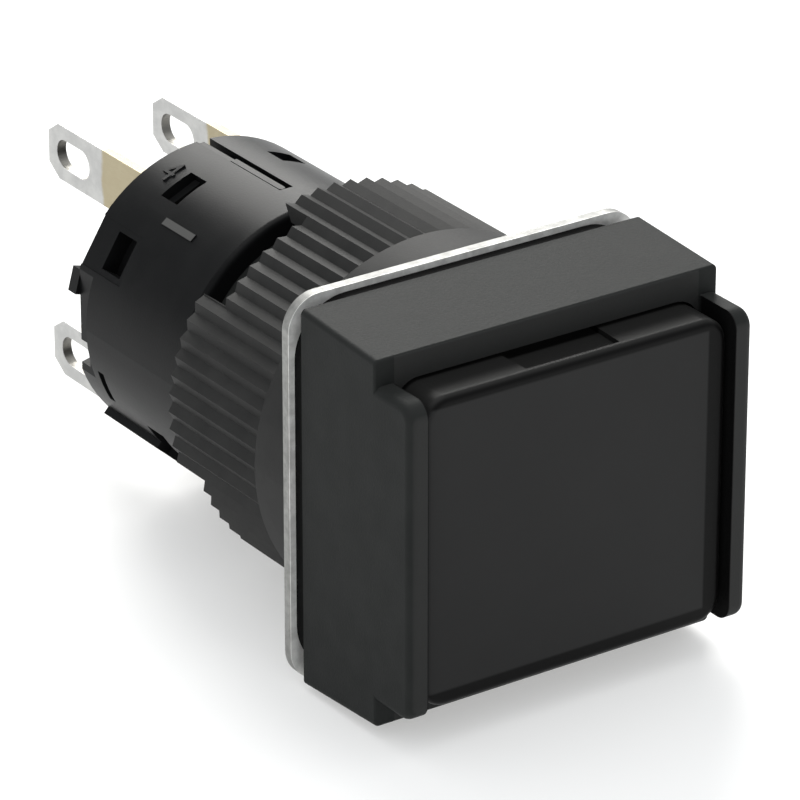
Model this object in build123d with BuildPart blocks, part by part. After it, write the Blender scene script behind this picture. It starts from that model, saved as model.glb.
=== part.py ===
from build123d import *
import math
import os

# Panel pushbutton with an 18 mm square head, in millimetres.
# The button's axis runs along Y and its face looks toward -Y, with +Z up.
# The origin is the middle of the head's rear plane, which faces the panel.

# Head
head_margin = 1.1
head_draft = 0.325
head_depth = 5.55
head_corner_radius = 0.25
head_edge_radius = 0.12
slab_thickness = 1.25
guard_reach = 2.65
guard_root = 1.0
guard_thickness = 0.95
guard_lap = 0.025
guard_corner_radius = 0.8
guard_edge_radius = 0.4
pocket_corner_radius = 1.3
pocket_floor_thickness = 0.8

# Barrel and neck
barrel_radius = 7.9
barrel_wall = 1.32
barrel_length = 9.5
neck_step = 1.6
neck_length = 3.4
spring_shoulder_thickness = 2.1
plate_keyway_width = 1.8
plate_keyway_depth = 0.7

# Button
button_travel = 2.5
cap_side_clearance = 0.1
cap_recess = 0.45
cap_length = 3.8
cap_wall = 1.0
cap_front_wall = 0.9
cap_corner_radius = 1.2
cap_inner_corner_radius = 0.7
cap_edge_radius = 0.35
pry_recess_width = 4.9
pry_recess_flare = 0.15
pry_recess_depth = 0.24
pry_recess_start = 0.42
plug_clearance = 0.05
plug_wall = 1.0
plug_floor = 0.65
flange_inset = 0.1
flange_thickness = 0.55
guide_end = 1.8
guide_clearance = 0.08
guide_key_width = 1.4
guide_key_height = 0.5
guide_key_clearance = 0.1
keyway_end_clearance = 0.3
hook_width = 2.4
hook_reach = 0.6
hook_length = 0.55
hook_clearance = 0.05
hook_slot_width = 1.2
hook_slot_length = 6.0
seal_groove_start = 0.1
seal_groove_width = 0.94
seal_groove_depth = 0.87
seal_section = 0.9

# Fixing on the panel
gasket_inset = 0.05
gasket_corner_radius = 2.6
gasket_thickness = 0.6
plate_overhang = 0.25
plate_corner_radius = 1.6
plate_thickness = 0.5
barrel_hole_clearance = 0.1
tongue_clearance = 0.1
nut_wall = 1.05
nut_overhang = 0.3
nut_collar_length = 2.75
nut_ridges = 64
nut_ridge_height = 0.25
nut_notches = 4
nut_notch_depth = 1.75
nut_notch_arc = 36.0
nut_notch_angle = 35.0

# Contact housing
housing_bore_clearance = 0.05
housing_wall = 1.0
housing_front_wall = 0.6
housing_edge_radius = 0.3
neck_seat_depth = 0.5
upper_window_angle = 24.5
upper_window_width = 1.8
far_window_angle = -20.5
far_window_width = 1.35
window_from_rear = 2.98
window_length = 1.35
side_window_angle = 58.0
side_window_from_rear = 2.25
side_window_length = 1.5
side_window_width = 1.9
side_recess_length = 3.3
side_recess_width = 2.5
side_recess_depth = 0.15
side_flat_inset = 0.45
side_flat_length = 1.2
rim_notch_angle = 103.0
rim_notch_length = 0.75
rim_notch_width = 1.1
vent_angle = 112.0
vent_from_rear = 1.95
vent_length = 0.5
vent_width = 1.7
latch_slot_angle = 0.55
latch_slot_width = 0.72
latch_slot_length = 7.0
mark_angle = 39.0
mark_from_front = 3.0
mark_length = 2.5
mark_width = 0.4
mark_height = 0.05
rib_angle = 138.5
rib_length = 5.2
rib_width = 1.9
rib_height = 0.3
lower_window_angle = 129.0
lower_window_from_rear = 5.35
lower_window_length = 1.4
lower_window_width = 2.0

# Base and terminals
base_thickness = 2.78
base_pocket_radius = 2.6
base_pocket_floor = 1.0
snap_nose_length = 0.45
snap_nose_reach = 0.5
snap_nose_root_depth = 0.2
coding_nose_angle = 75.0
coding_nose_length = 0.65
coding_nose_width = 1.2
coding_nose_height = 1.0
coding_nose_inset = 0.1
latch_arm_width = 0.34
latch_arm_thickness = 0.6
latch_arm_clearance = 0.07
latch_arm_inset = 0.02
latch_root_inset = 0.12
terminal_x = 2.9
terminal_thickness = 0.5
terminal_width = 2.8
tab_length = 8.8
upper_tab_offset = 0.4
lower_tab_offset = 1.0
tip_chamfer_along = 0.9
tip_chamfer_across = 0.6
tab_hole_length = 2.9
tab_hole_width = 1.45
tab_hole_from_tip = 2.2
shank_width = 1.6
pad_inner_x = 1.0

# Contacts
contact_inset = 1.95
contact_gap = 0.02
tip_radius = 0.6
tip_thickness = 0.25
tip_x = 1.75
bridge_half_length = 2.45
bridge_thickness = 0.3
bridge_height = 1.6
bridge_clearance = 0.08
rod_radius = 2.3
rod_length = 3.4
lug_gap = 0.2
lug_half_width = 0.6
lug_end_clearance = 0.45
lug_front_wall = 0.4
lug_rear_wall = 0.5
lug_clearance = 0.3

# Springs, whose turns are made of short straight chords
chords_per_turn = 12
wire_sides = 6
operator_spring_clearance = 1.33
tail_spring_clearance = 1.25
operator_wire_radius = 0.25
operator_turns = 4
contact_coil_radius = 0.62
contact_wire_radius = 0.12
contact_spring_turns = 3
contact_spring_length = 1.0
block_spring_seat_depth = 1.5
block_spring_bore = 1.9
block_coil_radius = 1.5
block_wire_radius = 0.18
block_turns = 5

# Radii from the barrel outward and inward
head_size = 2 * (barrel_radius + head_margin)
nut_radius = barrel_radius + nut_wall
guide_bore_radius = barrel_radius - barrel_wall
guide_radius = guide_bore_radius - guide_clearance
operator_coil_radius = guide_bore_radius - operator_spring_clearance - operator_wire_radius
tail_radius = operator_coil_radius - operator_wire_radius - tail_spring_clearance
neck_radius = barrel_radius - neck_step
housing_bore_radius = neck_radius + housing_bore_clearance
housing_radius = housing_bore_radius + housing_wall

# Head and button, worked out from the sizes above
slab_front = -head_depth
guard_front = slab_front - guard_reach
pocket_width = head_size - 2 * guard_thickness
head_front_height = head_size - 2 * head_draft
pocket_height = head_front_height - 2 * slab_thickness
guard_height = pocket_height + 2 * guard_lap
pocket_depth = head_depth - pocket_floor_thickness
cap_width = pocket_width - 2 * cap_side_clearance
cap_height = pocket_height - 2 * cap_side_clearance
cap_front = guard_front + cap_recess
cap_rear = cap_front + cap_length
cap_inner_width = cap_width - 2 * cap_wall
cap_inner_height = cap_height - 2 * cap_wall
plug_front = cap_front + cap_front_wall + plug_clearance
plug_width = cap_inner_width - 2 * plug_clearance
plug_height = cap_inner_height - 2 * plug_clearance
plug_pocket_radius = cap_inner_corner_radius / 2
plug_length = cap_rear - plug_front
flange_width = cap_width - 2 * flange_inset
flange_height = cap_height - 2 * flange_inset
guide_start = cap_rear + flange_thickness
guide_key_span = 2 * (guide_radius + guide_key_height)
keyway_span = guide_key_span + 2 * guide_key_clearance
keyway_end = guide_end + button_travel + keyway_end_clearance
tail_bore_radius = tail_radius + guide_clearance
spring_shoulder = barrel_length - spring_shoulder_thickness
neck_end = barrel_length + neck_length
hook_start = neck_end + hook_clearance
hook_span = 2 * (tail_radius + hook_reach)
tail_end = hook_start + hook_length
seal_groove_radius = guide_radius - seal_groove_depth
seal_ring_radius = seal_groove_radius + seal_section / 2
seal_centre = seal_groove_start + seal_groove_width / 2

# Panel fixing
gasket_size = head_size - 2 * gasket_inset
plate_start = gasket_thickness
plate_size = head_size + 2 * plate_overhang
barrel_hole_radius = barrel_radius + barrel_hole_clearance
tongue_width = plate_keyway_width - 2 * tongue_clearance
tongue_reach = plate_keyway_depth - tongue_clearance
nut_start = plate_start + plate_thickness
knurl_start = nut_start + nut_collar_length
nut_end = nut_start + barrel_length + nut_overhang
nut_valley_radius = nut_radius - nut_ridge_height
notch_reach = 2 * nut_radius
notch_half_width = notch_reach * math.tan(math.radians(nut_notch_arc / 2))

# Contacts, from the housing's front wall rearward
contact_z = housing_bore_radius - contact_inset
lug_height = housing_bore_radius - lug_end_clearance
wall_rear = neck_end + housing_front_wall
lug_start = wall_rear + lug_gap
window_start = lug_start + lug_front_wall
bridge_no_start = window_start + contact_spring_length
bridge_no_end = bridge_no_start + bridge_thickness
lug_no_end = bridge_no_end + lug_rear_wall
fixed_no_face = bridge_no_end + tip_thickness + button_travel + contact_gap
pad_no_start = fixed_no_face + tip_thickness
pad_nc_start = lug_start
fixed_nc_start = pad_nc_start + terminal_thickness
moving_nc_start = fixed_nc_start + tip_thickness + contact_gap
bridge_nc_start = moving_nc_start + tip_thickness
bridge_nc_end = bridge_nc_start + bridge_thickness
window_nc_end = bridge_nc_end + contact_spring_length
lug_nc_end = window_nc_end + lug_rear_wall
window_height = bridge_height + 2 * bridge_clearance
block_spring_seat = wall_rear + block_spring_seat_depth
rod_end = wall_rear + rod_length

# Contact housing, base and terminals
base_start = pad_no_start + terminal_thickness
housing_start = neck_end - neck_seat_depth
housing_end = base_start + base_thickness
front_hole_radius = tail_radius + guide_clearance
hook_hole_width = hook_span + 2 * guide_key_clearance
hook_hole_height = hook_width + 2 * guide_key_clearance
cut_floor = housing_bore_radius - housing_wall / 2
cut_height = 2 * housing_wall
window_y = housing_end - window_from_rear
side_window_y = housing_end - side_window_from_rear
side_recess_y = housing_end - side_recess_length / 2
side_flat_start = housing_end - side_flat_length
side_flat_x = housing_radius - side_flat_inset
rim_notch_y = housing_end - rim_notch_length / 2
lower_window_y = housing_end - lower_window_from_rear
vent_y = housing_end - vent_from_rear
latch_slot_y = housing_end - latch_slot_length / 2
mark_y = housing_start + mark_from_front + mark_length / 2
rib_y = housing_end - rib_length / 2
base_floor = housing_end - base_pocket_floor
snap_nose_y = base_start + snap_nose_length / 2
snap_nose_root = housing_bore_radius - snap_nose_root_depth
snap_nose_height = snap_nose_root_depth + snap_nose_reach
coding_nose_root = housing_radius - coding_nose_height - coding_nose_inset
latch_arm_left = (latch_slot_width - latch_arm_width) / 2 - latch_arm_clearance
latch_arm_tip = housing_end - latch_slot_length + latch_arm_clearance
latch_arm_straight = base_start - latch_arm_tip - latch_arm_width / 2
latch_arm_floor = housing_radius - latch_arm_inset - latch_arm_thickness
latch_root_height = housing_radius - latch_root_inset - snap_nose_root
terminal_tip = housing_end + tab_length
blade_inner_x = terminal_x - terminal_thickness / 2
upper_tab_z = contact_z + upper_tab_offset
lower_tab_z = -contact_z - lower_tab_offset
lug_slot_width = 2 * (lug_half_width + lug_clearance)
lug_slot_height = 2 * (lug_height + lug_clearance)


def across(y):
    """Plane square to the button's axis at y, seen from behind: local x to the left, local y up."""
    return Plane(origin=(0, y, 0), x_dir=(-1, 0, 0), z_dir=(0, 1, 0))


def on_shell(angle, y, radius):
    """Plane touching a round shell, turned by angle from the top toward the left."""
    turn = math.radians(angle)
    outward = (-math.sin(turn), 0, math.cos(turn))
    place = (outward[0] * radius, y, outward[2] * radius)
    return Plane(origin=place, x_dir=(0, 1, 0), z_dir=outward)


def coil_spring(start, end, coil_radius, wire_radius, turns, height=0):
    """Open compression spring between two seats, wound around a line along Y."""
    chords = turns * chords_per_turn
    rise = (end - start - 2 * wire_radius) / chords
    points = []
    for chord in range(chords + 1):
        turn = 2 * math.pi * chord / chords_per_turn
        across_x = coil_radius * math.cos(turn)
        across_z = height + coil_radius * math.sin(turn)
        points.append((across_x, start + wire_radius + rise * chord, across_z))
    with BuildPart() as spring:
        with BuildLine() as wire:
            Polyline(*points)
        with BuildSketch(Plane(origin=wire.line @ 0, z_dir=wire.line % 0)):
            RegularPolygon(wire_radius, wire_sides)
        sweep(transition=Transition.RIGHT)
    return spring.part


def terminal(side, tab_z, level, pad_start):
    """Flat tab, with a narrower blade through the base and a contact pad bent inward at its front."""
    tab_side = terminal_width / 2
    tip_side = tab_side - tip_chamfer_across
    chamfer_y = terminal_tip - tip_chamfer_along
    hole_y = terminal_tip - tab_hole_from_tip
    with BuildPart() as blank:
        with BuildSketch(Plane.YZ.offset(side * terminal_x)):
            with Locations((0, tab_z)):
                Polygon(
                    (housing_end, -tab_side),
                    (chamfer_y, -tab_side),
                    (terminal_tip, -tip_side),
                    (terminal_tip, tip_side),
                    (chamfer_y, tab_side),
                    (housing_end, tab_side),
                    align=None,
                )
            with Locations((hole_y, tab_z)):
                SlotOverall(tab_hole_length, tab_hole_width, mode=Mode.SUBTRACT)
            with Locations(((pad_start + housing_end) / 2, level)):
                Rectangle(housing_end - pad_start, shank_width)
        extrude(amount=terminal_thickness / 2, both=True)
        with BuildSketch(across(pad_start)):
            with Locations((-side * (pad_inner_x + blade_inner_x) / 2, level)):
                Rectangle(blade_inner_x - pad_inner_x, shank_width)
        extrude(amount=terminal_thickness)
    return blank.part


# The two guards stand on the sides of the head and are rooted in it.
with BuildPart() as guards:
    with BuildSketch(Plane.YZ.offset(-head_size / 2)):
        with Locations((slab_front + (guard_root - guard_reach) / 2, 0)):
            Rectangle(guard_reach + guard_root, guard_height)
    extrude(amount=head_size)
    fillet(guards.faces().sort_by(Axis.Y)[0].edges().filter_by(Axis.X), radius=guard_corner_radius)
    fillet(guards.faces().sort_by(Axis.Y)[0].edges().filter_by(Axis.Z), radius=guard_edge_radius)
    with BuildSketch(across(guard_front)):
        Rectangle(pocket_width, head_size)
    extrude(amount=guard_reach + guard_root, mode=Mode.SUBTRACT)

# Head, guards, barrel and neck are one moulding.
with BuildPart() as head_housing:
    with BuildSketch(Plane.YZ.offset(-head_size / 2)):
        Polygon(
            (0, -head_size / 2),
            (slab_front, -head_front_height / 2),
            (slab_front, head_front_height / 2),
            (0, head_size / 2),
            align=None,
        )
    extrude(amount=head_size)
    fillet(head_housing.edges().group_by(Axis.Y)[1], radius=head_corner_radius)
    fillet(head_housing.faces().sort_by(Axis.Y)[0].edges(), radius=head_edge_radius)
    add(guards.part)
    with BuildSketch(across(slab_front)):
        RectangleRounded(pocket_width, pocket_height, pocket_corner_radius)
    extrude(amount=pocket_depth, mode=Mode.SUBTRACT)
    with BuildSketch(across(0)):
        Circle(barrel_radius)
    extrude(amount=barrel_length)
    with BuildSketch(across(barrel_length)):
        Circle(neck_radius)
    extrude(amount=neck_length)
    with BuildSketch(across(-pocket_floor_thickness)):
        Circle(guide_bore_radius)
        Rectangle(keyway_span, guide_key_width + 2 * guide_key_clearance)
    extrude(amount=keyway_end + pocket_floor_thickness, mode=Mode.SUBTRACT)
    with BuildSketch(across(keyway_end)):
        Circle(guide_bore_radius)
    extrude(amount=spring_shoulder - keyway_end, mode=Mode.SUBTRACT)
    with BuildSketch(across(spring_shoulder)):
        Circle(tail_bore_radius)
    extrude(amount=neck_end - spring_shoulder, mode=Mode.SUBTRACT)
    # Keyway along the barrel for the plate's tongue
    with BuildSketch(across(0)):
        with Locations((0, -barrel_radius)):
            Rectangle(plate_keyway_width, 2 * plate_keyway_depth)
    extrude(amount=barrel_length, mode=Mode.SUBTRACT)

# The hollow cap closes the head and has a shallow recess on top, where it is pried off.
with BuildPart() as cap:
    with BuildSketch(across(cap_front)):
        RectangleRounded(cap_width, cap_height, cap_corner_radius)
    extrude(amount=cap_length)
    fillet(cap.faces().sort_by(Axis.Y)[0].edges(), radius=cap_edge_radius)
    with BuildSketch(across(cap_front + cap_front_wall)):
        RectangleRounded(cap_inner_width, cap_inner_height, cap_inner_corner_radius)
    extrude(amount=cap_length - cap_front_wall, mode=Mode.SUBTRACT)
    with BuildSketch(Plane.XY.offset(cap_height / 2 - pry_recess_depth)):
        Polygon(
            (-pry_recess_width / 2, cap_front + pry_recess_start),
            (pry_recess_width / 2, cap_front + pry_recess_start),
            (pry_recess_width / 2 + pry_recess_flare, cap_rear),
            (-pry_recess_width / 2 - pry_recess_flare, cap_rear),
            align=None,
        )
    extrude(amount=2 * pry_recess_depth, mode=Mode.SUBTRACT)

# The carrier plugs into the cap, slides in the barrel and hooks behind the neck.
with BuildPart() as cap_carrier:
    with BuildSketch(across(plug_front)):
        RectangleRounded(plug_width, plug_height, cap_inner_corner_radius)
    extrude(amount=plug_length)
    with BuildSketch(across(plug_front)):
        RectangleRounded(plug_width - 2 * plug_wall, plug_height - 2 * plug_wall, plug_pocket_radius)
    extrude(amount=plug_length - plug_floor, mode=Mode.SUBTRACT)
    with BuildSketch(across(cap_rear)):
        RectangleRounded(flange_width, flange_height, cap_corner_radius)
    extrude(amount=flange_thickness)
    with BuildSketch(across(guide_start)):
        Circle(guide_radius)
        Rectangle(guide_key_span, guide_key_width)
    extrude(amount=guide_end - guide_start)
    with BuildSketch(across(seal_groove_start)):
        Circle(2 * guide_radius)
        Circle(seal_groove_radius, mode=Mode.SUBTRACT)
    extrude(amount=seal_groove_width, mode=Mode.SUBTRACT)
    with BuildSketch(across(guide_end)):
        Circle(tail_radius)
    extrude(amount=tail_end - guide_end)
    with BuildSketch(across(hook_start)):
        Rectangle(hook_span, hook_width)
    extrude(amount=hook_length)
    # Slot that lets the two hooked legs flex
    with BuildSketch(across(tail_end - hook_slot_length)):
        Rectangle(hook_slot_width, 2 * tail_radius)
    extrude(amount=hook_slot_length, mode=Mode.SUBTRACT)

# Square-cut seal ring in the carrier's groove
with BuildPart() as plunger_seal:
    with BuildSketch(Plane.XY):
        with Locations((seal_ring_radius, seal_centre)):
            Rectangle(seal_section, seal_section)
    revolve(axis=Axis.Y)

operator_spring = coil_spring(
    guide_end, spring_shoulder, operator_coil_radius, operator_wire_radius, operator_turns
)

# Flat gasket between the head and the panel
with BuildPart() as panel_gasket:
    with BuildSketch(across(0)):
        RectangleRounded(gasket_size, gasket_size, gasket_corner_radius)
        Circle(barrel_hole_radius, mode=Mode.SUBTRACT)
    extrude(amount=gasket_thickness)

# Stamped plate with a tongue that sits in the barrel's keyway
with BuildPart() as locating_plate:
    with BuildSketch(across(plate_start)):
        RectangleRounded(plate_size, plate_size, plate_corner_radius)
        Circle(barrel_hole_radius, mode=Mode.SUBTRACT)
        with Locations((0, -barrel_radius)):
            Rectangle(tongue_width, 2 * tongue_reach)
    extrude(amount=plate_thickness)

# Nut with a plain collar in front, sharp ridges for the fingers and driving notches in its rear rim
ridge_corners = []
for corner in range(2 * nut_ridges):
    turn = math.pi * corner / nut_ridges
    reach = nut_valley_radius if corner % 2 else nut_radius
    ridge_corners.append((reach * math.cos(turn), reach * math.sin(turn)))
with BuildPart() as fixing_nut:
    with BuildSketch(across(nut_start)):
        Circle(nut_radius)
        Circle(barrel_radius, mode=Mode.SUBTRACT)
    extrude(amount=nut_collar_length)
    with BuildSketch(across(knurl_start)):
        Polygon(*ridge_corners, align=None)
        Circle(barrel_radius, mode=Mode.SUBTRACT)
    extrude(amount=nut_end - knurl_start)
    with BuildSketch(across(nut_end - nut_notch_depth)):
        with PolarLocations(0, nut_notches, start_angle=90 - nut_notch_angle):
            Polygon((0, 0), (notch_reach, -notch_half_width), (notch_reach, notch_half_width), align=None)
    extrude(amount=nut_notch_depth, mode=Mode.SUBTRACT)

# Round contact housing, open at the rear, with its front wall seated on the neck
with BuildPart() as contact_housing:
    with BuildSketch(across(housing_start)):
        Circle(housing_radius)
    extrude(amount=housing_end - housing_start)
    fillet(contact_housing.faces().sort_by(Axis.Y)[0].edges(), radius=housing_edge_radius)
    # Raised bar on the left and a fine line on the upper left
    with BuildSketch(on_shell(rib_angle, rib_y, housing_radius - rib_height)):
        Rectangle(rib_length, rib_width)
    extrude(amount=2 * rib_height)
    with BuildSketch(on_shell(mark_angle, mark_y, housing_radius - mark_height)):
        Rectangle(mark_length, mark_width)
    extrude(amount=2 * mark_height)
    with BuildSketch(across(housing_start)):
        Circle(housing_bore_radius)
    extrude(amount=neck_seat_depth, mode=Mode.SUBTRACT)
    with BuildSketch(across(neck_end)):
        Circle(front_hole_radius)
        Rectangle(hook_hole_width, hook_hole_height)
    extrude(amount=housing_front_wall, mode=Mode.SUBTRACT)
    with BuildSketch(across(wall_rear)):
        Circle(housing_bore_radius)
    extrude(amount=housing_end - wall_rear, mode=Mode.SUBTRACT)
    # Shallow recess behind and around the side window, and a flat with a notch on the left of the rim
    with BuildSketch(on_shell(side_window_angle, side_recess_y, housing_radius - side_recess_depth)):
        Rectangle(side_recess_length, side_recess_width)
    extrude(amount=housing_wall, mode=Mode.SUBTRACT)
    with BuildSketch(across(side_flat_start)):
        with Locations((side_flat_x + side_flat_inset, 0)):
            Rectangle(2 * side_flat_inset, housing_radius)
    extrude(amount=side_flat_length, mode=Mode.SUBTRACT)
    with BuildSketch(on_shell(rim_notch_angle, rim_notch_y, cut_floor)):
        Rectangle(rim_notch_length, rim_notch_width)
    extrude(amount=cut_height, mode=Mode.SUBTRACT)
    # Snap windows for the base, a window beside the bar, and a vent
    with BuildSketch(on_shell(upper_window_angle, window_y, cut_floor)):
        Rectangle(window_length, upper_window_width)
    extrude(amount=cut_height, mode=Mode.SUBTRACT)
    with BuildSketch(on_shell(side_window_angle, side_window_y, cut_floor)):
        Rectangle(side_window_length, side_window_width)
    extrude(amount=cut_height, mode=Mode.SUBTRACT)
    with BuildSketch(on_shell(far_window_angle, window_y, cut_floor)):
        Rectangle(window_length, far_window_width)
    extrude(amount=cut_height, mode=Mode.SUBTRACT)
    with BuildSketch(on_shell(lower_window_angle, lower_window_y, cut_floor)):
        Rectangle(lower_window_length, lower_window_width)
    extrude(amount=cut_height, mode=Mode.SUBTRACT)
    with BuildSketch(on_shell(vent_angle, vent_y, cut_floor)):
        Rectangle(vent_length, vent_width)
    extrude(amount=cut_height, mode=Mode.SUBTRACT)
    # Slot on top for the base's latch arm, open at the rear
    with BuildSketch(on_shell(latch_slot_angle, latch_slot_y, cut_floor)):
        Rectangle(latch_slot_length, latch_slot_width)
    extrude(amount=cut_height, mode=Mode.SUBTRACT)

# The base closes the contact housing and carries the four terminals.
with BuildPart() as terminal_base:
    with BuildSketch(across(base_start)):
        Circle(housing_bore_radius)
    extrude(amount=base_thickness)
    # Room for the slide and its lug at full travel
    with BuildSketch(across(base_start)):
        Circle(base_pocket_radius)
        Rectangle(lug_slot_width, lug_slot_height)
    extrude(amount=base_floor - base_start, mode=Mode.SUBTRACT)
    # Slots for the terminals' blades
    with BuildSketch(across(base_start)):
        with GridLocations(2 * terminal_x, 2 * contact_z, 2, 2):
            Rectangle(terminal_thickness, shank_width)
    extrude(amount=base_thickness, mode=Mode.SUBTRACT)
    # Snap noses in the housing's windows
    with BuildSketch(on_shell(upper_window_angle, snap_nose_y, snap_nose_root)):
        Rectangle(snap_nose_length, upper_window_width)
    extrude(amount=snap_nose_height)
    with BuildSketch(on_shell(far_window_angle, snap_nose_y, snap_nose_root)):
        Rectangle(snap_nose_length, far_window_width)
    extrude(amount=snap_nose_height)
    # Latch arm with a rounded free end, lying in the housing's slot
    with BuildSketch(on_shell(latch_slot_angle, base_start + base_thickness / 2, snap_nose_root)):
        with Locations((0, latch_arm_left)):
            Rectangle(base_thickness, latch_arm_width)
    extrude(amount=latch_root_height)
    with BuildSketch(on_shell(latch_slot_angle, base_start, latch_arm_floor)):
        with Locations((-latch_arm_straight / 2, latch_arm_left)):
            Rectangle(latch_arm_straight, latch_arm_width)
        with Locations((-latch_arm_straight, latch_arm_left)):
            Circle(latch_arm_width / 2)
    extrude(amount=latch_arm_thickness)
    # Coding nose on the rear face
    with BuildSketch(on_shell(coding_nose_angle, housing_end + coding_nose_length / 2, coding_nose_root)):
        Rectangle(coding_nose_length, coding_nose_width)
    extrude(amount=coding_nose_height)

terminal_no_left = terminal(-1, upper_tab_z, contact_z, pad_no_start)
terminal_no_right = terminal(1, upper_tab_z, contact_z, pad_no_start)
terminal_nc_left = terminal(-1, lower_tab_z, -contact_z, pad_nc_start)
terminal_nc_right = terminal(1, lower_tab_z, -contact_z, pad_nc_start)

# Silver tips riveted on the terminals' pads: the upper pair looks forward, the lower pair rearward.
with BuildPart() as fixed_contact_tips:
    with BuildSketch(across(fixed_no_face)):
        with Locations((-tip_x, contact_z), (tip_x, contact_z)):
            Circle(tip_radius)
    extrude(amount=tip_thickness)
    with BuildSketch(across(fixed_nc_start)):
        with Locations((-tip_x, -contact_z), (tip_x, -contact_z)):
            Circle(tip_radius)
    extrude(amount=tip_thickness)

# The slide pushes both contact bridges. Its upper window holds the opening pair's bridge and its
# lower window the closed pair's, each with a small spring.
with BuildPart() as contact_slide:
    with BuildSketch(across(wall_rear)):
        Circle(rod_radius)
    extrude(amount=rod_length)
    with BuildSketch(Plane.YZ.offset(-lug_half_width)):
        with Locations(((lug_start + lug_no_end) / 2, lug_height / 2)):
            Rectangle(lug_no_end - lug_start, lug_height)
        with Locations(((lug_start + lug_nc_end) / 2, -lug_height / 2)):
            Rectangle(lug_nc_end - lug_start, lug_height)
    extrude(amount=2 * lug_half_width)
    with BuildSketch(Plane.YZ.offset(-lug_half_width)):
        with Locations(((window_start + bridge_no_end) / 2, contact_z)):
            Rectangle(bridge_no_end - window_start, window_height)
        with Locations(((window_start + window_nc_end) / 2, -contact_z)):
            Rectangle(window_nc_end - window_start, window_height)
    extrude(amount=2 * lug_half_width, mode=Mode.SUBTRACT)
    with BuildSketch(across(block_spring_seat)):
        Circle(block_spring_bore)
    extrude(amount=rod_end - block_spring_seat, mode=Mode.SUBTRACT)

# Flat bridges that join the two terminals of a pair
with BuildPart() as bridge_no:
    with BuildSketch(across(bridge_no_start)):
        with Locations((0, contact_z)):
            Rectangle(2 * bridge_half_length, bridge_height)
    extrude(amount=bridge_thickness)

with BuildPart() as bridge_nc:
    with BuildSketch(across(bridge_nc_start)):
        with Locations((0, -contact_z)):
            Rectangle(2 * bridge_half_length, bridge_height)
    extrude(amount=bridge_thickness)

with BuildPart() as moving_contact_tips:
    with BuildSketch(across(bridge_no_end)):
        with Locations((-tip_x, contact_z), (tip_x, contact_z)):
            Circle(tip_radius)
    extrude(amount=tip_thickness)
    with BuildSketch(across(moving_nc_start)):
        with Locations((-tip_x, -contact_z), (tip_x, -contact_z)):
            Circle(tip_radius)
    extrude(amount=tip_thickness)

contact_spring_no = coil_spring(
    window_start, bridge_no_start, contact_coil_radius, contact_wire_radius,
    contact_spring_turns, contact_z,
)
contact_spring_nc = coil_spring(
    bridge_nc_end, window_nc_end, contact_coil_radius,
    contact_wire_radius, contact_spring_turns, -contact_z,
)
block_spring = coil_spring(
    block_spring_seat, base_floor, block_coil_radius, block_wire_radius,
    block_turns,
)

os.makedirs("parts", exist_ok=True)
pieces = {
    "head_housing": head_housing.part,
    "cap": cap.part,
    "cap_carrier": cap_carrier.part,
    "plunger_seal": plunger_seal.part,
    "operator_spring": operator_spring,
    "panel_gasket": panel_gasket.part,
    "locating_plate": locating_plate.part,
    "fixing_nut": fixing_nut.part,
    "contact_housing": contact_housing.part,
    "terminal_base": terminal_base.part,
    "terminal_no_left": terminal_no_left,
    "terminal_no_right": terminal_no_right,
    "terminal_nc_left": terminal_nc_left,
    "terminal_nc_right": terminal_nc_right,
    "fixed_contact_tips": fixed_contact_tips.part,
    "contact_slide": contact_slide.part,
    "bridge_no": bridge_no.part,
    "bridge_nc": bridge_nc.part,
    "moving_contact_tips": moving_contact_tips.part,
    "contact_spring_no": contact_spring_no,
    "contact_spring_nc": contact_spring_nc,
    "block_spring": block_spring,
}
for name, piece in pieces.items():
    piece.label = name
    export_step(piece, f"parts/{name}.step")
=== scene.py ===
import math
import bpy
from mathutils import Matrix, Vector


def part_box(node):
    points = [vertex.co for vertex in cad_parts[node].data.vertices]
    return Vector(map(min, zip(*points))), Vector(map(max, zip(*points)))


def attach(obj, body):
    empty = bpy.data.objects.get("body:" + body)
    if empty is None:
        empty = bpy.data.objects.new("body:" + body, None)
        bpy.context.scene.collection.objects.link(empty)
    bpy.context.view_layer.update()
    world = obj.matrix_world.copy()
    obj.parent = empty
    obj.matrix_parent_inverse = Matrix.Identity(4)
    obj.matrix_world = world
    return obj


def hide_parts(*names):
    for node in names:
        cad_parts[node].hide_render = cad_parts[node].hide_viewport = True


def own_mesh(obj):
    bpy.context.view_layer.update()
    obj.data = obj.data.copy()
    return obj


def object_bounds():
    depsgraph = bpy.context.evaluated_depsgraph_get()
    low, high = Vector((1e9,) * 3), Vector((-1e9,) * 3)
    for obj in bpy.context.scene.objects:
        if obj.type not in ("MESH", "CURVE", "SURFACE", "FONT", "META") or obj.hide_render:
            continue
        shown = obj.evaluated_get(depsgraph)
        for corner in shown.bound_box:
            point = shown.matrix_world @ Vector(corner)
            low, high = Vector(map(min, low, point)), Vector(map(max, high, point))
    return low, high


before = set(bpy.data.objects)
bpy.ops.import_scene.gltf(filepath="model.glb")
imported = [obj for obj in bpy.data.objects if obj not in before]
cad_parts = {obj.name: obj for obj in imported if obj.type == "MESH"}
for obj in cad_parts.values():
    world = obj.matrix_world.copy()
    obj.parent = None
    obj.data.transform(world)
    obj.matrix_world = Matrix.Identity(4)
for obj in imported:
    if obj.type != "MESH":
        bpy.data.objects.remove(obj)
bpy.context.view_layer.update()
bpy.ops.object.select_all(action="DESELECT")


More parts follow.
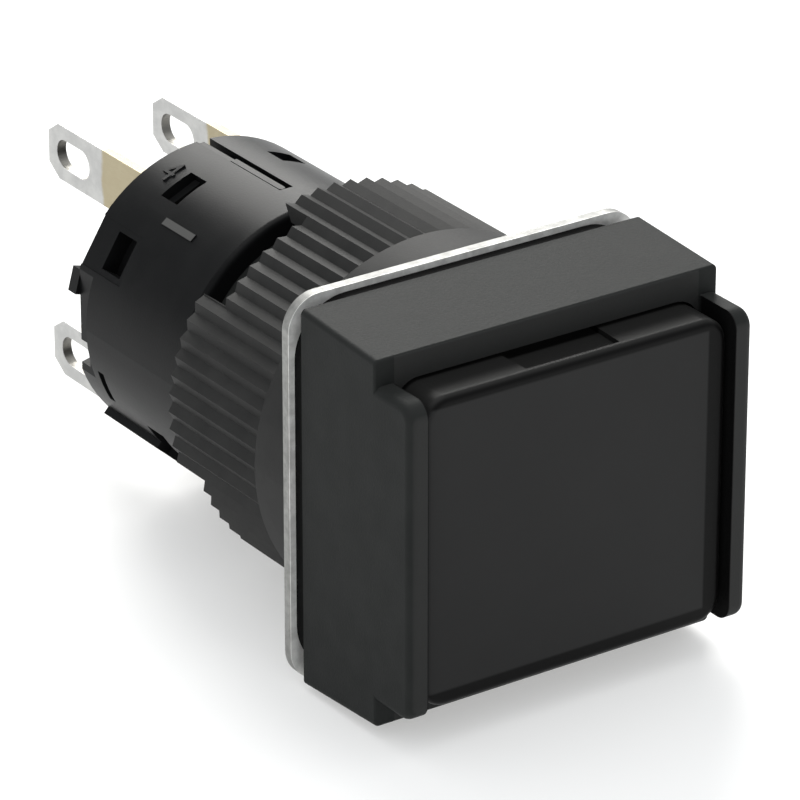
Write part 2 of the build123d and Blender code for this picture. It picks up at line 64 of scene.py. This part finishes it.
# Head housing. The square head with its two side guards, the barrel and the neck are one moulding in
# charcoal plastic. The mould's faces are spark eroded, which leaves a fine dull grain. Its front faces
# are painted paler as painted light, the walls beside the cap are painted black as painted shade, and
# it has a few dust specks.
class Value:
    """A shader value for Python expressions. Each operation adds its own node."""

    def __init__(self, finish, link):
        self.finish = finish
        self.link = link

    def math(self, operation, *others):
        values = dict(enumerate((self, *others)))
        return self.finish.node("ShaderNodeMath", {"operation": operation}, values)

    def __add__(self, other):
        return self.math("ADD", other)

    __radd__ = __add__

    def __sub__(self, other):
        return self.math("SUBTRACT", other)

    def __rsub__(self, other):
        return self.finish.node("ShaderNodeMath", {"operation": "SUBTRACT"}, {0: other, 1: self})

    def __mul__(self, other):
        return self.math("MULTIPLY", other)

    __rmul__ = __mul__

    def rise(self, low, high):
        """0 below low, 1 above high, and a smooth rise between."""
        settings = {"interpolation_type": "SMOOTHSTEP"}
        inputs = {"Value": self, "From Min": low, "From Max": high}
        return self.finish.node("ShaderNodeMapRange", settings, inputs)

    def between(self, low, high, soft):
        """1 from low to high, with soft edges inside that range."""
        return self.rise(low, low + soft) * (1 - self.rise(high - soft, high))

    def blend(self, colour, other):
        """The first colour where this value is 0 and the second one where it is 1."""
        inputs = {"Factor": self, 6: colour, 7: other}
        return self.finish.node("ShaderNodeMix", {"data_type": "RGBA"}, inputs, 2)


class Finish:
    """A material, its surface shader, and the patterns that its colour and relief are made of."""

    def __init__(self, name, **constants):
        self.material = bpy.data.materials.new(name)
        self.material.use_nodes = True
        self.tree = self.material.node_tree
        self.shader = self.tree.nodes["Principled BSDF"]
        self.place = self.node("ShaderNodeTexCoord", {}, {}, "Object")
        for socket, constant in constants.items():
            self.shader.inputs[socket.replace("_", " ")].default_value = constant

    def node(self, kind, settings, inputs, output=0):
        """Adds a node with its settings first, then the values or links of its sockets."""
        node = self.tree.nodes.new(kind)
        for name, setting in settings.items():
            setattr(node, name, setting)
        for name, value in inputs.items():
            if isinstance(value, Value):
                self.tree.links.new(value.link, node.inputs[name])
            else:
                node.inputs[name].default_value = value
        return Value(self, node.outputs[output])

    def along(self, axis):
        """The place along X, Y or Z in millimetres, in which all limits of patterns are given."""
        return self.node("ShaderNodeSeparateXYZ", {}, {"Vector": self.place}, axis) * 1000

    def noise(self, grain, detail=2.0, stretch=(1, 1, 1)):
        """Soft noise from 0 to 1 with grains of the given size in metres."""
        place = self.node("ShaderNodeMapping", {}, {"Vector": self.place, "Scale": stretch})
        inputs = {"Vector": place, "Scale": 1 / grain, "Detail": detail, "Roughness": 0.55}
        return self.node("ShaderNodeTexNoise", {}, inputs, "Fac")

    def dots(self, spacing, size, limit):
        """Small round dots, one to a cell at most, where a coarser noise is under the limit."""
        cells = {"Vector": self.place, "Scale": 1 / spacing}
        distance = self.node("ShaderNodeTexVoronoi", {}, cells, "Distance")
        bare = self.noise(3 * spacing).rise(limit, limit + 0.02)
        return (1 - distance.rise(size / spacing / 2, size / spacing)) * (1 - bare)

    def colour(self, value):
        self.tree.links.new(value.link, self.shader.inputs["Base Color"])

    def dullness(self, value):
        self.tree.links.new(value.link, self.shader.inputs["Roughness"])

    def relief(self, height, depth):
        """Raises the surface by a height of 0 to 1 times a depth in metres."""
        bump = self.node("ShaderNodeBump", {}, {"Height": height, "Distance": depth, "Strength": 1.0})
        self.tree.links.new(bump.link, self.shader.inputs["Normal"])

    def coat(self, *nodes):
        """Puts this finish on CAD nodes."""
        for name in nodes:
            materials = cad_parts[name].data.materials
            materials.clear()
            materials.append(self.material)


guard_front = -8.2
slab_front = -5.55
pocket_side = 8.05
charcoal_dark = (0.0158, 0.0170, 0.0166, 1)
charcoal_light = (0.0197, 0.0210, 0.0205, 1)
# The guard fronts and the slab front are blended toward this paler grey as painted light.
front_painted_light_grey = (0.033, 0.033, 0.0325, 1)
front_painted_light_share = 0.7
shaded_black = (0.004, 0.004, 0.004, 1)
dust_grey = (0.16, 0.16, 0.155, 1)
dust_share = 0.5

charcoal = Finish("charcoal moulding", Specular_IOR_Level=0.065)
cloud = charcoal.noise(0.0018, 4.0)
eroded = charcoal.noise(0.00012, 3.0)
dust = charcoal.dots(0.0011, 0.00007, 0.275)
charcoal_x = charcoal.along("X")
charcoal_y = charcoal.along("Y")
charcoal_tone = cloud.rise(0.3, 0.7).blend(charcoal_dark, charcoal_light)
# Masks of the guard fronts and the slab front, where the painted light goes.
on_guards = 1 - charcoal_y.rise(guard_front + 0.01, guard_front + 0.1)
on_slab = 1 - charcoal_y.rise(slab_front + 0.01, slab_front + 0.05)
on_slab = on_slab * charcoal_x.between(0.05 - pocket_side, pocket_side - 0.05, 0.02)
charcoal_tone = (front_painted_light_share * (on_guards + on_slab)).blend(charcoal_tone, front_painted_light_grey)
# The inner walls of the guards beside the cap are painted black as painted shade.
shade_beside_cap = 1 - charcoal_x.math("ABSOLUTE").rise(pocket_side + 0.01, pocket_side + 0.07)
shade_beside_cap = shade_beside_cap * (1 - charcoal_y.rise(slab_front - 0.2, slab_front - 0.05))
charcoal_tone = shade_beside_cap.blend(charcoal_tone, shaded_black)
charcoal.colour((dust * dust_share).blend(charcoal_tone, dust_grey))
charcoal.dullness(0.47 + 0.12 * eroded + 0.05 * cloud)
charcoal.relief(eroded + 0.4 * cloud, 0.000009)
charcoal.coat("head_housing")

# Cap carrier and contact slide. Both are moulded in natural, slightly yellow plastic, smooth where
# they run. The seal ring is stretched into the carrier's groove, and is moulded in the same black
# rubber as the panel gasket.
natural_dark = (0.52, 0.49, 0.42, 1)
natural_light = (0.6, 0.57, 0.5, 1)
rubber_dark = (0.002, 0.002, 0.002, 1)
rubber_light = (0.004, 0.004, 0.004, 1)

natural = Finish("natural moulding", Specular_IOR_Level=0.4)
flow = natural.noise(0.002, 4.0, (1, 0.25, 1))
natural.colour(flow.blend(natural_dark, natural_light))
natural.dullness(0.42 + 0.1 * natural.noise(0.0002))
natural.relief(flow, 0.000006)
natural.coat("cap_carrier", "contact_slide")

rubber = Finish("moulded rubber", Specular_IOR_Level=0.04)
bloom = rubber.noise(0.0004, 4.0)
rubber.colour(bloom.blend(rubber_dark, rubber_light))
rubber.dullness(0.62 + 0.15 * bloom)
rubber.relief(rubber.noise(0.0001), 0.000006)
rubber.coat("plunger_seal", "panel_gasket")

# Springs. Wound from drawn stainless wire, with fine die lines and the slight yellow of the heat
# that set them. The two that the button works against, which shorten toward their rear seats as it
# goes in, are wound again here as round coils.
operator_wire_radius = 0.00025
operator_turns = 4
block_wire_radius = 0.00018
block_turns = 5
wire_sides = 10
steps_per_turn = 24
merge_distance = 0.000001
wire_straw = (0.5, 0.48, 0.44, 1)
wire_bright = (0.68, 0.67, 0.64, 1)

wire = Finish("drawn wire", Metallic=1.0)
drawn = wire.noise(0.00015, 3.0, (1, 0.3, 1))
wire.colour(drawn.blend(wire_straw, wire_bright))
wire.dullness(0.22 + 0.2 * drawn)
wire.relief(drawn, 0.000002)
wire.coat("operator_spring", "contact_spring_no", "contact_spring_nc", "block_spring")


def keep_place(piece):
    """Moves the piece's place into its mesh, so that its object sits at the origin."""
    piece.data.transform(piece.matrix_world)
    piece.matrix_world = Matrix.Identity(4)


def edit(piece):
    """Opens the piece in edit mode with all of it selected."""
    bpy.context.view_layer.objects.active = piece
    bpy.ops.object.mode_set(mode="EDIT")
    bpy.ops.mesh.select_all(action="SELECT")


def settle(piece, name, finish, body):
    """Closes the piece's edit, keeps its place, and gives it a name, a finish and a body."""
    bpy.ops.mesh.select_all(action="SELECT")
    bpy.ops.mesh.normals_make_consistent(inside=False)
    bpy.ops.object.mode_set(mode="OBJECT")
    keep_place(piece)
    piece.name = name
    piece.data.materials.clear()
    piece.data.materials.append(finish.material)
    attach(piece, body)
    bpy.ops.object.select_all(action="DESELECT")


def return_spring(node, turns, wire_radius):
    """A coil in place of a CAD spring, from one end of its box to the other."""
    low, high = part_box(node)
    length = high.y - low.y
    coil_radius = (high.x - low.x) / 2 - wire_radius
    bpy.ops.mesh.primitive_circle_add(
        vertices=wire_sides,
        radius=wire_radius,
        location=(coil_radius, low.y + wire_radius, 0),
    )
    piece = bpy.context.object
    keep_place(piece)
    winding = piece.modifiers.new("winding", "SCREW")
    winding.axis = "Y"
    winding.iterations = turns
    winding.steps = winding.render_steps = steps_per_turn
    winding.screw_offset = (length - 2 * wire_radius) / turns
    bpy.ops.object.modifier_apply(modifier="winding")
    edit(piece)
    bpy.ops.mesh.remove_doubles(threshold=merge_distance)
    bpy.ops.mesh.fill_holes(sides=0)
    bpy.ops.mesh.faces_shade_smooth()
    settle(piece, f"{node}_coil", wire, "housing")
    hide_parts(node)
    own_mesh(piece)


return_spring("operator_spring", operator_turns, operator_wire_radius)
return_spring("block_spring", block_turns, block_wire_radius)

# Cap. A smoked lens, polished on its rim and satin on its face. A grey field plate lies close behind
# the face, so the face looks a little lighter inside a dark border. The field's limits are its low
# side, its high side and its soft edge. The dark strip below the field is partly painted shade, the
# cap's top and sides are painted lighter than its front border as painted light, and the part of the
# cap under the slab is painted near black as painted shade.
cap_front = -7.75
field_across = (-7.85, 7.0, 0.14)
# The field's low limit is set high, so the dark strip along the cap's bottom is partly painted shade.
field_upward = (-6.62, 6.92, 0.16)
field_dark = (0.020, 0.020, 0.020, 1)
field_light = (0.023, 0.023, 0.023, 1)
# The cap's top and sides get this tone, lighter than the front border, as painted light.
sides_painted_light_black = (0.012, 0.012, 0.0118, 1)
rim_black = (0.003, 0.003, 0.003, 1)
# Painted shade for the part of the cap that sits in the pocket under the slab.
pocket_painted_shade = (0.0005, 0.0005, 0.0005, 1)

smoked = Finish("smoked cap", Specular_IOR_Level=0.08)
veil = smoked.noise(0.004, 3.0)
satin = smoked.noise(0.00015, 3.0)
field = smoked.along("X").between(*field_across) * smoked.along("Z").between(*field_upward)
smoked_y = smoked.along("Y")
face = 1 - smoked_y.rise(cap_front + 0.03, cap_front + 0.15)
# Behind the slab's front the cap is painted near black as painted shade.
in_pocket = smoked_y.rise(slab_front - 0.25, slab_front)
border_and_painted_shading = in_pocket.blend(face.blend(sides_painted_light_black, rim_black), pocket_painted_shade)
smoked.colour((field * face).blend(border_and_painted_shading, veil.blend(field_dark, field_light)))
smoked.dullness(0.34 + 0.08 * satin + 0.06 * field)
smoked.relief(satin, 0.0000025)
smoked.coat("cap")

# Locating plate. Blanked from bright plated steel strip: rolled grain along X, a brighter front face,
# its cut edges and rear face painted darker as painted shade, and a tongue for the barrel's keyway.
plate_front = 0.6
plate_edge_dark = (0.2, 0.2, 0.192, 1)
plate_edge_light = (0.3, 0.3, 0.288, 1)
plate_front_dark = (0.72, 0.72, 0.7, 1)
plate_front_light = (0.95, 0.95, 0.93, 1)

plated = Finish("bright plated steel", Metallic=0.55)
rolled = plated.noise(0.00012, 3.0, (0.15, 1, 1))
patch = plated.noise(0.0005, 4.0)
patches = patch.rise(0.3, 0.7)
# The cut edges and the rear face take this darker tone as painted shade.
edge_painted_shade_tone = patches.blend(plate_edge_dark, plate_edge_light)
front_tone = patches.blend(plate_front_dark, plate_front_light)
behind_front = plated.along("Y").rise(plate_front + 0.005, plate_front + 0.04)
plated.colour(behind_front.blend(front_tone, edge_painted_shade_tone))
plated.dullness(0.4 + 0.2 * rolled)
plated.relief(rolled + patch, 0.000008)
plated.coat("locating_plate")

# Fixing nut. It screws on the barrel's thread and is moulded in a slightly lighter grade of the
# plastic, with a smooth collar and sharp ridges that have a soft sheen.
nut_dark = (0.018, 0.018, 0.0178, 1)
nut_light = (0.024, 0.024, 0.0235, 1)

nut = Finish("nut moulding", Specular_IOR_Level=0.12)
nut_cloud = nut.noise(0.0015, 4.0)
nut_grain = nut.noise(0.0001, 3.0)
nut.colour(nut_cloud.rise(0.3, 0.7).blend(nut_dark, nut_light))
nut.dullness(0.49 + 0.1 * nut_grain + 0.05 * nut_cloud)
nut.relief(nut_grain + 0.3 * nut_cloud, 0.000004)
nut.coat("fixing_nut")

# Thread in the nut's open rear mouth. A 16 mm thread with 1 mm pitch, which the driving notches cut
# into four stretches. Each stretch is a ridge of triangular section.
thread_pitch = 0.001
thread_size = 0.00029
thread_root = 0.00792
thread_start = 0.0096
thread_stretches = 4
thread_stretch = math.radians(52)
thread_middle = math.radians(80)
thread_steps = 14
axis = Vector((0, 1, 0))

for number in range(thread_stretches):
    middle = thread_middle + number * math.tau / thread_stretches
    first = middle - thread_stretch / 2
    inward = Vector((math.sin(first), 0, -math.cos(first)))
    bpy.ops.mesh.primitive_circle_add(
        vertices=3,
        radius=thread_size,
        fill_type="NGON",
        location=inward * (thread_size / 2 - thread_root) + Vector((0, thread_start, 0)),
        rotation=Matrix((axis, inward, axis.cross(inward))).transposed().to_euler(),
    )
    ridge = bpy.context.object
    edit(ridge)
    bpy.ops.mesh.spin(steps=thread_steps, angle=thread_stretch, center=(0, 0, 0), axis=axis)
    settle(ridge, f"nut_thread_{number + 1}", nut, "housing")
    for point in ridge.data.vertices:
        turn = middle + math.remainder(math.atan2(-point.co.x, point.co.z) - middle, math.tau)
        point.co.y += thread_pitch * turn / math.tau

# Contact housing and terminal base. Both are black plastic, glossier than the head. The base is
# pushed in from the rear until its noses snap into the windows. The housing has one raised dash that
# is printed grey, and the ejector pins leave four faint rings on the base's rear face.
rear_face = 0.0217
dash_turn = math.radians(39)
dash_half_width = 0.2
dash_front = 15.4
dash_rear = 17.9
dash_floor = 7.355
dash_grey = (0.085, 0.085, 0.083, 1)
dash_share = 0.9
block_dark = (0.0045, 0.0047, 0.005, 1)
block_light = (0.0065, 0.0067, 0.007, 1)
pin_places = ((0, 1.9), (0, -1.9), (5.2, 0), (-5.2, 0))
pin_inner_square = 0.72
pin_outer_square = 1.0

block = Finish("block moulding", Specular_IOR_Level=0.075)
block_cloud = block.noise(0.002, 4.0)
block_grain = block.noise(0.0001, 3.0)
block_tone = block_cloud.rise(0.3, 0.7).blend(block_dark, block_light)
block_x = block.along("X")
block_y = block.along("Y")
block_z = block.along("Z")
sideways = block_x * -math.cos(dash_turn) - block_z * math.sin(dash_turn)
outward = block_z * math.cos(dash_turn) - block_x * math.sin(dash_turn)
dash = sideways.between(-dash_half_width, dash_half_width, 0.03)
dash = dash * block_y.between(dash_front, dash_rear, 0.06)
dash = dash * outward.rise(dash_floor, dash_floor + 0.02)
block.colour((dash * dash_share).blend(block_tone, dash_grey))
block.dullness(0.3 + 0.08 * block_grain + 0.06 * block_cloud)
pin_marks = 0
for pin_x, pin_z in pin_places:
    from_x = block_x - pin_x
    from_z = block_z - pin_z
    square = from_x * from_x + from_z * from_z
    pin_marks = pin_marks + square.between(pin_inner_square, pin_outer_square, 0.1)
pin_marks = pin_marks * block_y.rise(1000 * rear_face - 0.1, 1000 * rear_face - 0.05)
block.relief(block_grain + 0.5 * block_cloud - 5 * pin_marks, 0.000004)
block.coat("contact_housing", "terminal_base")

# Numerals. A plain figure is printed in grey beside each tab, on the base's rear face, and one is
# raised from the housing near its rear rim.
printed_size = 0.0019
printed_height = 0.00002
printed_x = 0.0012
upper_z = 0.0048
lower_z = -0.0054
raised_size = 0.0018
raised_height = 0.00007
raised_y = 0.0203
raised_turn = math.radians(22)
housing_radius = 0.00735
print_worn = (0.07, 0.07, 0.068, 1)
print_whole = (0.14, 0.14, 0.136, 1)

printed = Finish("grey print", Specular_IOR_Level=0.2)
worn = printed.noise(0.00025, 3.0)
printed.colour(worn.rise(0.3, 0.6).blend(print_worn, print_whole))
printed.dullness(0.5 + 0.2 * worn)
printed.relief(worn, 0.000004)


def numeral(figure, name, size, height, finish, place, right, up):
    """A figure that stands on a face at a place, with its right and up directions."""
    bpy.ops.object.text_add()
    piece = bpy.context.object
    piece.data.body = figure
    piece.data.size = size
    piece.data.align_x = "CENTER"
    piece.data.align_y = "CENTER"
    piece.data.extrude = height
    piece.data.resolution_u = 4
    bpy.ops.object.convert(target="MESH")
    turned = Matrix((right, up, right.cross(up))).transposed().to_4x4()
    piece.matrix_world = Matrix.Translation(place) @ turned
    edit(piece)
    bpy.ops.mesh.remove_doubles(threshold=merge_distance)
    settle(piece, name, finish, "housing")


places = {
    "1": (printed_x, upper_z),
    "2": (-printed_x, upper_z),
    "3": (printed_x, lower_z),
    "4": (-printed_x, lower_z),
}
for figure, (x, z) in places.items():
    numeral(
        figure,
        f"terminal_number_{figure}",
        size=printed_size,
        height=printed_height,
        finish=printed,
        place=Vector((x, rear_face, z)),
        right=Vector((-1, 0, 0)),
        up=Vector((0, 0, 1)),
    )
outward_turn = Vector((-math.sin(raised_turn), 0, math.cos(raised_turn)))
numeral(
    "4",
    "housing_number",
    size=raised_size,
    height=raised_height,
    finish=block,
    place=outward_turn * housing_radius + Vector((0, raised_y, 0)),
    right=-axis,
    up=outward_turn.cross(-axis),
)

# Terminals and bridges. Stamped from brass strip. The tabs are tinned by dipping, up to a ragged
# line short of the base. The edges that the punch cut, the walls of the holes among them, are painted
# darker than the faces, partly as painted shade.
terminal_x = 2.9
terminal_half_face = 0.24
dip_start = 25.75
dip_end = 26.05
brass_dark = (0.31, 0.265, 0.17, 1)
brass_light = (0.39, 0.345, 0.235, 1)
tin_dark = (0.39, 0.39, 0.385, 1)
tin_light = (0.48, 0.48, 0.47, 1)
cut_edge_and_shade_brown = (0.13, 0.122, 0.105, 1)
cut_share = 0.75

tinned = Finish("tinned brass", Metallic=1.0)
strip = tinned.noise(0.0001, 3.0, (1, 0.2, 1))
stain = tinned.noise(0.0009, 4.0)
tinned_y = tinned.along("Y")
dipped = (tinned_y + 0.5 * stain).rise(dip_start, dip_end)
brass = stain.blend(brass_dark, brass_light)
tin = stain.rise(0.3, 0.7).blend(tin_dark, tin_light)
# The cut edges and the hole walls are painted darker, partly as painted shade.
from_middle = tinned.along("X").math("ABSOLUTE")
cut_edge = from_middle.between(terminal_x - terminal_half_face, terminal_x + terminal_half_face, 0.03)
cut_edge = cut_edge * tinned_y.rise(1000 * rear_face, 1000 * rear_face + 0.1)
tinned.colour((cut_share * cut_edge).blend(dipped.blend(brass, tin), cut_edge_and_shade_brown))
tinned.dullness(0.3 + 0.15 * strip + 0.1 * stain)
tinned.relief(strip + 0.6 * stain, 0.000005)
tinned.coat("terminal_no_left", "terminal_no_right", "terminal_nc_left", "terminal_nc_right")
tinned.coat("bridge_no", "bridge_nc")

# Contact tips. Fine silver rivets with a light haze of tarnish, headed over on the blades and on the
# bridges.
silver_tarnished = (0.66, 0.64, 0.6, 1)
silver_bright = (0.86, 0.85, 0.82, 1)

silver = Finish("silver", Metallic=1.0)
tarnish = silver.noise(0.0003, 4.0)
silver.colour(tarnish.blend(silver_tarnished, silver_bright))
silver.dullness(0.28 + 0.15 * tarnish)
silver.relief(tarnish, 0.000003)
silver.coat("fixed_contact_tips", "moving_contact_tips")

# Table and lights. White paper under a white studio sky, a softbox overhead and a smaller, brighter
# one behind the button, whose reflection makes the upper faces lighter than the sides.
table_size = 3
table_gap = 0.00002
paper_dark = (0.93, 0.93, 0.93, 1)
paper_light = (0.94, 0.94, 0.94, 1)
sky_colour = (0.955, 0.98, 1, 1)
sky_strength = 0.65

bpy.ops.mesh.primitive_plane_add(size=table_size, location=(0, 0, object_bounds()[0].z - table_gap))
table = bpy.context.object
table.name = "table"
keep_place(table)
paper = Finish("white paper", Specular_IOR_Level=0.2)
pulp = paper.noise(0.02)
paper.colour(pulp.blend(paper_dark, paper_light))
paper.dullness(0.8 + 0.1 * pulp)
table.data.materials.append(paper.material)

studio = bpy.data.worlds.new("studio")
studio.use_nodes = True
sky = studio.node_tree.nodes["Background"]
sky.inputs["Color"].default_value = sky_colour
sky.inputs["Strength"].default_value = sky_strength
bpy.context.scene.world = studio
bpy.context.scene.view_settings.view_transform = "Standard"


def softbox(name, place, size, power, colour, shadows):
    """A square light that faces the button."""
    lamp = bpy.data.lights.new(name, "AREA")
    lamp.size = size
    lamp.energy = power
    lamp.color = colour
    lamp.use_shadow = shadows
    stand = bpy.data.objects.new(name, lamp)
    stand.location = place
    stand.rotation_euler = Vector(place).to_track_quat("Z", "Y").to_euler()
    bpy.context.collection.objects.link(stand)


softbox("overhead", (0.0, 0.0, 0.7), size=0.7, power=3.2, colour=(1, 0.995, 0.98), shadows=False)
softbox("behind", (0.27, 0.55, 0.36), size=0.42, power=4.5, colour=(1, 0.99, 0.96), shadows=True)

# Camera. It looks down at the button's front left corner from 25 cm away, with a long lens that keeps
# the edges nearly parallel.
target = Vector((-0.00213, 0.00258, 0.00197))
azimuth = math.radians(-34.393)
elevation = math.radians(25.019)
distance = 0.25
sensor_width = 36
focal_length = 255.98
backward = Vector((
    math.sin(azimuth) * math.cos(elevation),
    -math.cos(azimuth) * math.cos(elevation),
    math.sin(elevation),
))
optics = bpy.data.cameras.new("camera")
optics.sensor_width = sensor_width
optics.lens = focal_length
optics.clip_start = 0.01
optics.clip_end = 10
camera = bpy.data.objects.new("camera", optics)
camera.location = target + distance * backward
camera.rotation_euler = (math.pi / 2 - elevation, 0, azimuth)
bpy.context.collection.objects.link(camera)
bpy.context.scene.camera = camera
